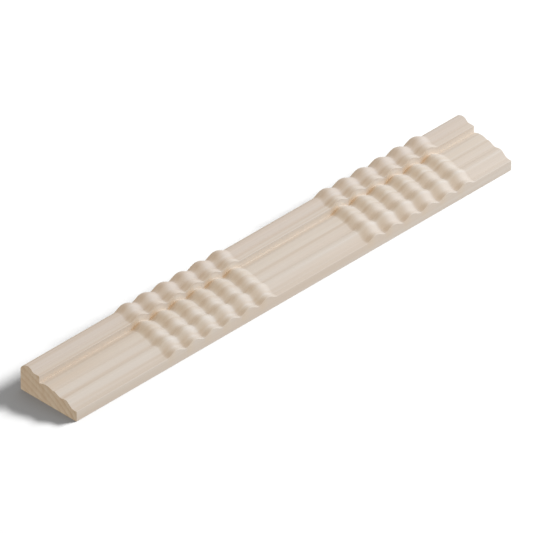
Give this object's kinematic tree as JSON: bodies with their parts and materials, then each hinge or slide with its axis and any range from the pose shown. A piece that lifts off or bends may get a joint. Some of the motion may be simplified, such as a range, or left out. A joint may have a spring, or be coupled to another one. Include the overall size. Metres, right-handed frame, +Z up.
{
  "type": "ripple moulding",
  "caption": "Straight length of pale timber moulding with a bead, step, swell and small roll, carved across in groups of rounded ripples, cut square at both ends.",
  "frame": {"origin": "centre of the flat underside, midway along the length and across the width", "axes": "+X along the length towards the cut that follows the short plain run, +Y towards the thick edge, +Z up from the flat underside through the moulded face"},
  "size_m": [0.3, 0.0386, 0.0183],
  "materials": {
    "bare_softwood": "bare planed and sanded pale softwood, matt, straight grain along the length, growth rings on the cut ends"
  },
  "bodies": {
    "root": {"moulding": "bare_softwood"}
  },
  "joints": []
}
